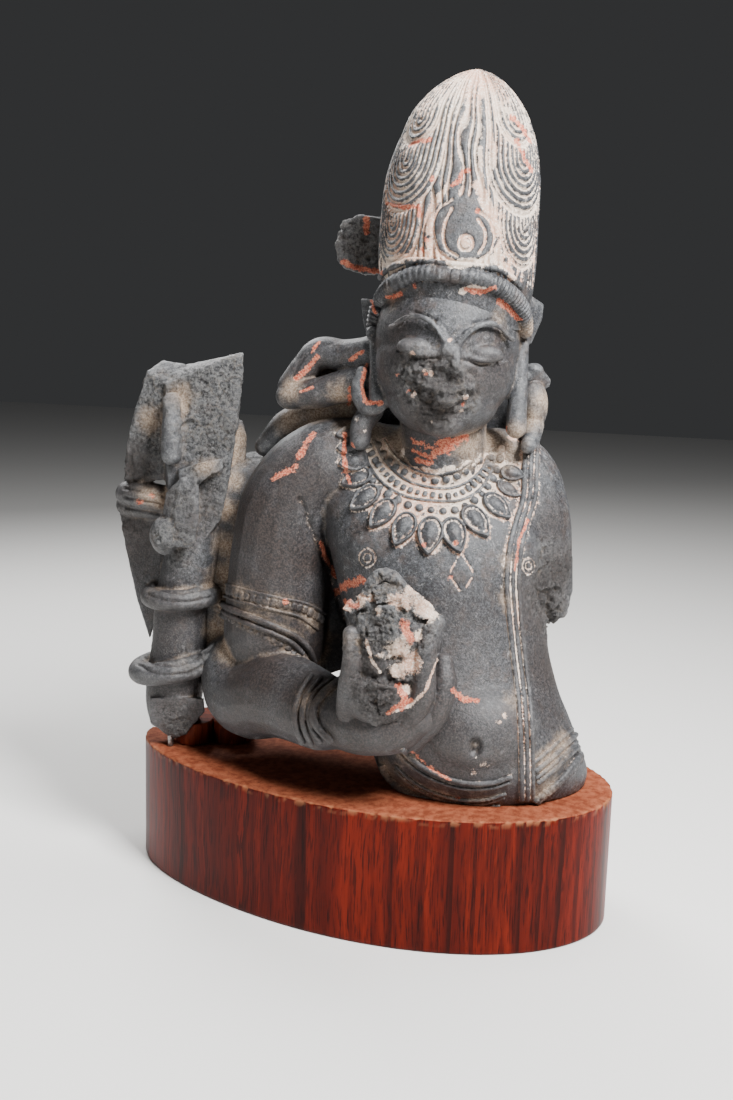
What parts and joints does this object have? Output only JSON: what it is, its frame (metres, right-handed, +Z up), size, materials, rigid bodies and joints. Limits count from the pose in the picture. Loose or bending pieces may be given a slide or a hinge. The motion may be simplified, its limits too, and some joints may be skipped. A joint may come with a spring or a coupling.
{
  "type": "stone bust",
  "caption": "Dark carved stone bust of a deity with a tall crown of matted hair, a bowl held at the chest and a broken staff, on an oval polished wood plinth.",
  "frame": {"origin": "centre of the plinth's underside", "axes": "+Z up, +X along the plinth's long axis towards the bust's left arm, +Y towards the back"},
  "size_m": [0.3223, 0.1809, 0.4811],
  "materials": {
    "stone": "matte dark schist, worn and dusty, with remains of cream and red pigment",
    "plinth_wood": "polished red-brown hardwood with upright grain",
    "block_wood": "satin red-brown hardwood",
    "pin_steel": "satin"
  },
  "bodies": {
    "root": {"stone_bust": "stone", "plinth": "plinth_wood", "support_block": "block_wood", "support_pin": "pin_steel"}
  },
  "joints": []
}
